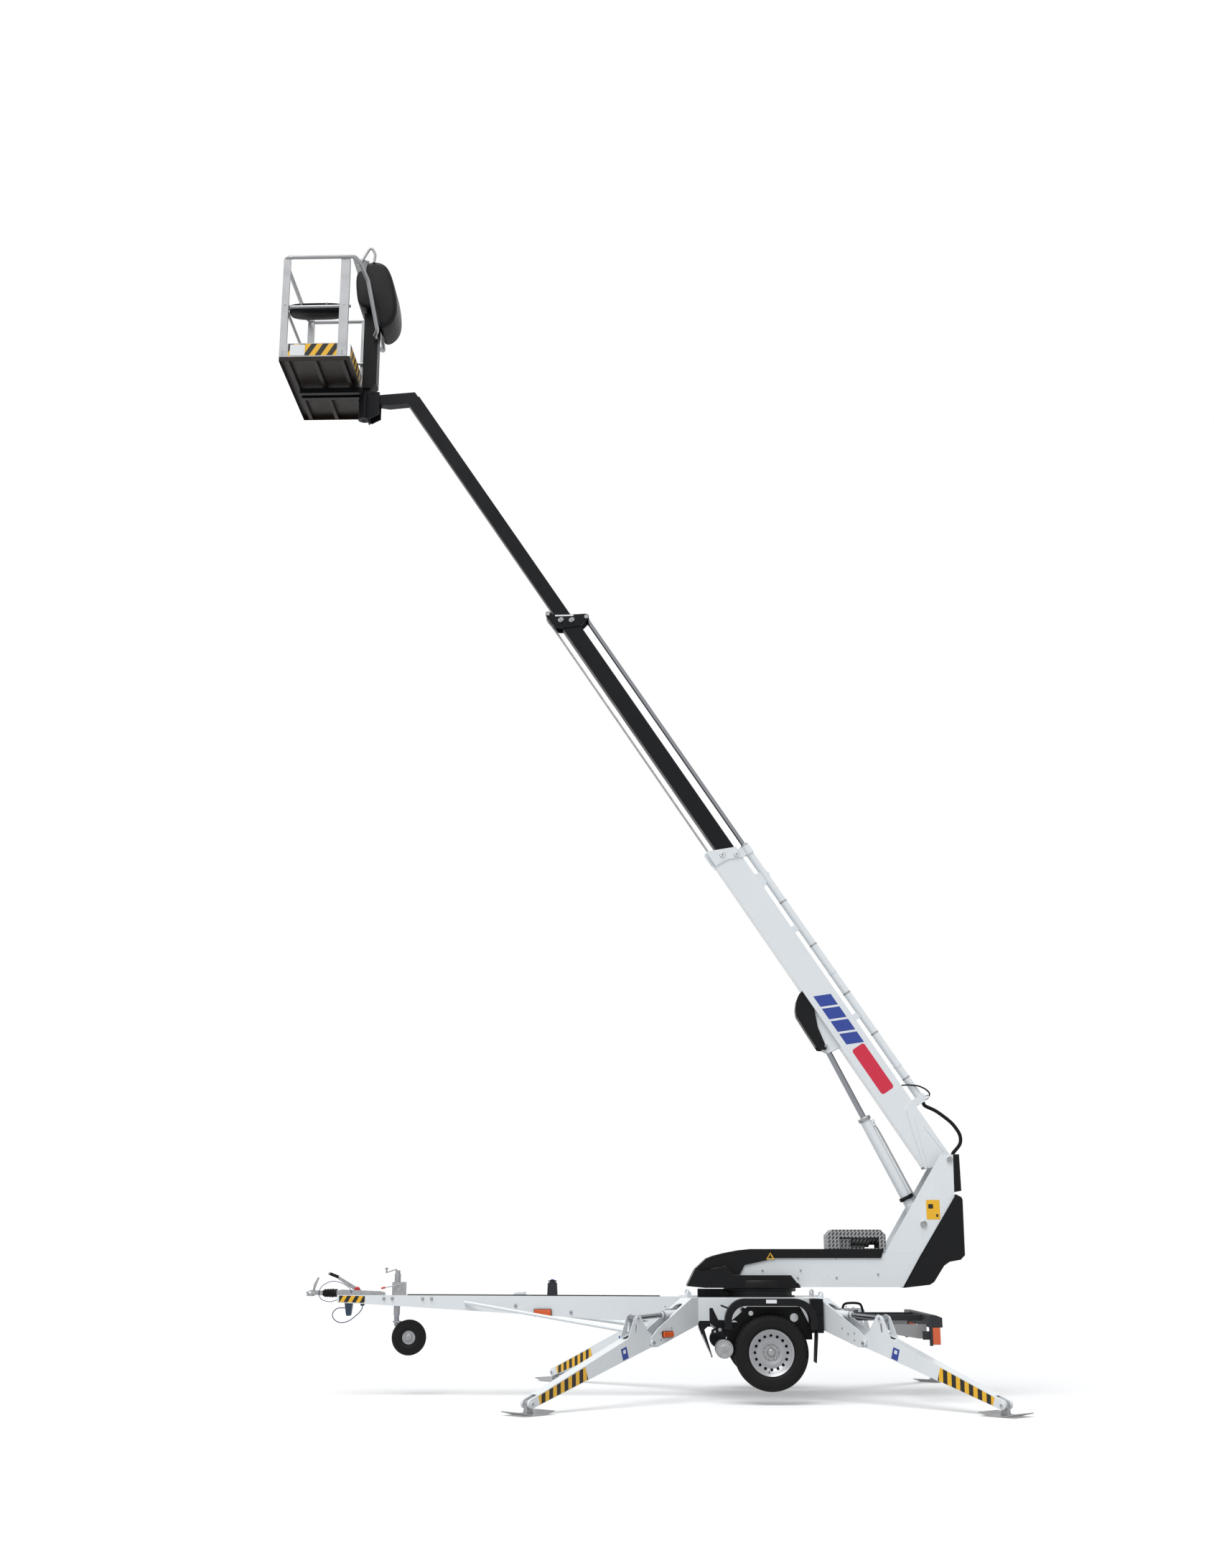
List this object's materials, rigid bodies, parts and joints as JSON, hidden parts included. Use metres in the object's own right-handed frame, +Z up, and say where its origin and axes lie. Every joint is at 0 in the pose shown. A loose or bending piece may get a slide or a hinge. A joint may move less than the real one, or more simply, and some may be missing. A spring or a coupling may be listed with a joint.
{
  "type": "towable boom lift",
  "caption": "Towable aerial boom lift with a raised telescopic boom, a guarded basket at its tip, a slewing turntable, four hydraulic outriggers, two road wheels and a braked drawbar.",
  "frame": {"origin": "on the floor under the middle of the overall box", "axes": "+X to the rear of the trailer, +Y to its right-hand side, +Z up; the drawbar and the basket point to -X"},
  "size_m": [6.7169, 4.1768, 11.4979],
  "materials": {
    "white_paint": "gloss",
    "zinc": "satin",
    "rubber": "matte",
    "grey_plastic": "satin",
    "blue_cable": "matte",
    "dark_steel": "satin",
    "black_plastic": "satin",
    "black_paint": "satin",
    "amber_lens": "gloss",
    "wheel_silver": "gloss",
    "chrome": "mirror",
    "ballast_iron": "matte",
    "grey_sheet": "satin",
    "aluminium": "satin"
  },
  "bodies": {
    "chassis": {"chassis_frame": "white_paint", "outrigger_arms": "white_paint", "drawbar": "white_paint", "coupling_head": "zinc", "coupling_bellows": "rubber", "brake_lever": "zinc", "plug_holder": "grey_plastic", "plug_cable": "blue_cable", "breakaway_cable": "blue_cable", "jockey_clamp": "zinc", "boom_rest": "dark_steel", "axle": "dark_steel", "mudguards": "black_plastic", "drive_units": "black_paint", "light_bar": "dark_steel", "lamps": "amber_lens", "slew_ring": "dark_steel"},
    "left_wheel": {"tyre_left": "rubber", "rim_left": "wheel_silver"},
    "right_wheel": {"tyre_right": "rubber", "rim_right": "wheel_silver"},
    "jockey_inner": {"jockey_tube": "chrome"},
    "jockey_swivel": {"jockey_fork": "zinc"},
    "jockey_roller": {"jockey_wheel": "rubber"},
    "turntable": {"turntable_frame": "white_paint", "tower": "white_paint", "counterweight": "ballast_iron", "covers": "black_plastic", "rear_cover": "black_plastic", "motor_guard": "grey_sheet", "boom_hose": "rubber"},
    "lift_barrel": {"lift_cylinder": "white_paint"},
    "lift_piston": {"lift_rod": "chrome"},
    "boom": {"main_boom": "white_paint", "lift_cover": "black_plastic", "telescope_tube": "white_paint"},
    "middle_section": {"middle_boom": "black_paint", "pull_chain": "dark_steel"},
    "inner_section": {"inner_boom": "black_paint"},
    "carrier": {"level_bracket": "black_paint"},
    "basket": {"basket_frame": "aluminium", "basket_floor": "aluminium", "basket_column": "black_plastic", "console": "black_plastic"},
    "leg_body_front_left": {"leg_front_left": "white_paint"},
    "foot_front_left": {"pad_front_left": "zinc"},
    "ram_barrel_front_left": {"leg_barrel_front_left": "white_paint"},
    "ram_piston_front_left": {"leg_rod_front_left": "chrome"},
    "leg_body_front_right": {"leg_front_right": "white_paint"},
    "foot_front_right": {"pad_front_right": "zinc"},
    "ram_barrel_front_right": {"leg_barrel_front_right": "white_paint"},
    "ram_piston_front_right": {"leg_rod_front_right": "chrome"},
    "leg_body_rear_left": {"leg_rear_left": "white_paint"},
    "foot_rear_left": {"pad_rear_left": "zinc"},
    "ram_barrel_rear_left": {"leg_barrel_rear_left": "white_paint"},
    "ram_piston_rear_left": {"leg_rod_rear_left": "chrome"},
    "leg_body_rear_right": {"leg_rear_right": "white_paint"},
    "foot_rear_right": {"pad_rear_right": "zinc"},
    "ram_barrel_rear_right": {"leg_barrel_rear_right": "white_paint"},
    "ram_piston_rear_right": {"leg_rod_rear_right": "chrome"}
  },
  "joints": [
    {"name": "left_wheel_turn", "type": "hinge", "parent": "chassis", "child": "left_wheel", "pos_m": [1.38025, -0.89, 0.42], "axis": [0, 1, 0], "continuous": true},
    {"name": "right_wheel_turn", "type": "hinge", "parent": "chassis", "child": "right_wheel", "pos_m": [1.38025, 0.89, 0.42], "axis": [0, 1, 0], "continuous": true},
    {"name": "jockey_wind", "type": "slide", "parent": "chassis", "child": "jockey_inner", "axis": [0, 0, -1], "range_m": [0, 0.24]},
    {"name": "jockey_swivel_turn", "type": "hinge", "parent": "jockey_inner", "child": "jockey_swivel", "pos_m": [-1.94675, 0, 0.62], "axis": [0, 0, 1], "continuous": true},
    {"name": "jockey_roll", "type": "hinge", "parent": "jockey_swivel", "child": "jockey_roller", "pos_m": [-1.82975, 0, 0.497], "axis": [0, 1, 0], "continuous": true},
    {"name": "fold_front_left", "type": "hinge", "parent": "chassis", "child": "leg_body_front_left", "pos_m": [0.33025, -0.87, 0.5], "axis": [-0.7314, 0.682, 0], "range_deg": [0, 70]},
    {"name": "foot_tilt_front_left", "type": "hinge", "parent": "leg_body_front_left", "child": "foot_front_left", "pos_m": [-0.60731, -1.87541, 0.085], "axis": [-0.7314, 0.682, 0], "range_deg": [-15, 15]},
    {"name": "ram_swing_front_left", "type": "hinge", "parent": "chassis", "child": "ram_barrel_front_left", "pos_m": [0.70194, -0.47141, 0.74], "axis": [-0.7314, 0.682, 0], "range_deg": [0, 3.5]},
    {"name": "ram_stroke_front_left", "type": "slide", "parent": "ram_barrel_front_left", "child": "ram_piston_front_left", "axis": [-0.681, -0.7302, -0.0553], "range_m": [-0.301, 0]},
    {"name": "fold_front_right", "type": "hinge", "parent": "chassis", "child": "leg_body_front_right", "pos_m": [0.33025, 0.87, 0.5], "axis": [0.7314, 0.682, 0], "range_deg": [0, 70]},
    {"name": "foot_tilt_front_right", "type": "hinge", "parent": "leg_body_front_right", "child": "foot_front_right", "pos_m": [-0.60731, 1.87541, 0.085], "axis": [0.7314, 0.682, 0], "range_deg": [-15, 15]},
    {"name": "ram_swing_front_right", "type": "hinge", "parent": "chassis", "child": "ram_barrel_front_right", "pos_m": [0.70194, 0.47141, 0.74], "axis": [0.7314, 0.682, 0], "range_deg": [0, 3.5]},
    {"name": "ram_stroke_front_right", "type": "slide", "parent": "ram_barrel_front_right", "child": "ram_piston_front_right", "axis": [-0.681, 0.7302, -0.0553], "range_m": [-0.301, 0]},
    {"name": "fold_rear_left", "type": "hinge", "parent": "chassis", "child": "leg_body_rear_left", "pos_m": [2.21025, -0.87, 0.5], "axis": [-0.7314, -0.682, 0], "range_deg": [0, 70]},
    {"name": "foot_tilt_rear_left", "type": "hinge", "parent": "leg_body_rear_left", "child": "foot_rear_left", "pos_m": [3.14781, -1.87541, 0.085], "axis": [-0.7314, -0.682, 0], "range_deg": [-15, 15]},
    {"name": "ram_swing_rear_left", "type": "hinge", "parent": "chassis", "child": "ram_barrel_rear_left", "pos_m": [1.83856, -0.47141, 0.74], "axis": [-0.7314, -0.682, 0], "range_deg": [0, 3.5]},
    {"name": "ram_stroke_rear_left", "type": "slide", "parent": "ram_barrel_rear_left", "child": "ram_piston_rear_left", "axis": [0.681, -0.7302, -0.0553], "range_m": [-0.301, 0]},
    {"name": "fold_rear_right", "type": "hinge", "parent": "chassis", "child": "leg_body_rear_right", "pos_m": [2.21025, 0.87, 0.5], "axis": [0.7314, -0.682, 0], "range_deg": [0, 70]},
    {"name": "foot_tilt_rear_right", "type": "hinge", "parent": "leg_body_rear_right", "child": "foot_rear_right", "pos_m": [3.14781, 1.87541, 0.085], "axis": [0.7314, -0.682, 0], "range_deg": [-15, 15]},
    {"name": "ram_swing_rear_right", "type": "hinge", "parent": "chassis", "child": "ram_barrel_rear_right", "pos_m": [1.83856, 0.47141, 0.74], "axis": [0.7314, -0.682, 0], "range_deg": [0, 3.5]},
    {"name": "ram_stroke_rear_right", "type": "slide", "parent": "ram_barrel_rear_right", "child": "ram_piston_rear_right", "axis": [0.681, 0.7302, -0.0553], "range_m": [-0.301, 0]},
    {"name": "slew", "type": "hinge", "parent": "chassis", "child": "turntable", "pos_m": [1.34025, 0, 0.9], "axis": [0, 0, 1], "continuous": true},
    {"name": "boom_lift", "type": "hinge", "parent": "turntable", "child": "boom", "pos_m": [3.07525, 0, 2.058], "axis": [0, 1, 0], "range_deg": [-60, 15], "deforming": ["boom_hose"]},
    {"name": "lift_swing", "type": "hinge", "parent": "turntable", "child": "lift_barrel", "pos_m": [2.81525, 0, 1.487], "axis": [0, 1, 0], "range_deg": [-52.8, 13.2]},
    {"name": "lift_stroke", "type": "slide", "parent": "lift_barrel", "child": "lift_piston", "axis": [-0.4488, 0, 0.8936], "range_m": [-0.6074, 0.1519]},
    {"name": "middle_run_out", "type": "slide", "parent": "boom", "child": "middle_section", "axis": [-0.5476, 0, 0.8368], "range_m": [-2.64, 0.04]},
    {"name": "inner_run_out", "type": "slide", "parent": "middle_section", "child": "inner_section", "axis": [-0.5476, 0, 0.8368], "range_m": [-2.64, 0.15]},
    {"name": "basket_level", "type": "hinge", "parent": "inner_section", "child": "carrier", "pos_m": [-2.47482, 0, 9.86185], "axis": [0, 1, 0], "range_deg": [-15, 60]},
    {"name": "basket_turn", "type": "hinge", "parent": "carrier", "child": "basket", "pos_m": [-2.56482, 0, 9.86185], "axis": [0, 0, 1], "range_deg": [-45, 45]}
  ],
  "couplings": [
    {"joint": "ram_swing_front_left", "follows": "fold_front_left", "ratio": 0.05},
    {"joint": "ram_stroke_front_left", "follows": "fold_front_left", "m_per_rad": -0.246},
    {"joint": "ram_swing_front_right", "follows": "fold_front_right", "ratio": 0.05},
    {"joint": "ram_stroke_front_right", "follows": "fold_front_right", "m_per_rad": -0.246},
    {"joint": "ram_swing_rear_left", "follows": "fold_rear_left", "ratio": 0.05},
    {"joint": "ram_stroke_rear_left", "follows": "fold_rear_left", "m_per_rad": -0.246},
    {"joint": "ram_swing_rear_right", "follows": "fold_rear_right", "ratio": 0.05},
    {"joint": "ram_stroke_rear_right", "follows": "fold_rear_right", "m_per_rad": -0.246},
    {"joint": "lift_swing", "follows": "boom_lift", "ratio": 0.88},
    {"joint": "lift_stroke", "follows": "boom_lift", "m_per_rad": 0.58},
    {"joint": "inner_run_out", "follows": "middle_run_out", "ratio": 1},
    {"joint": "basket_level", "follows": "boom_lift", "ratio": -1}
  ]
}
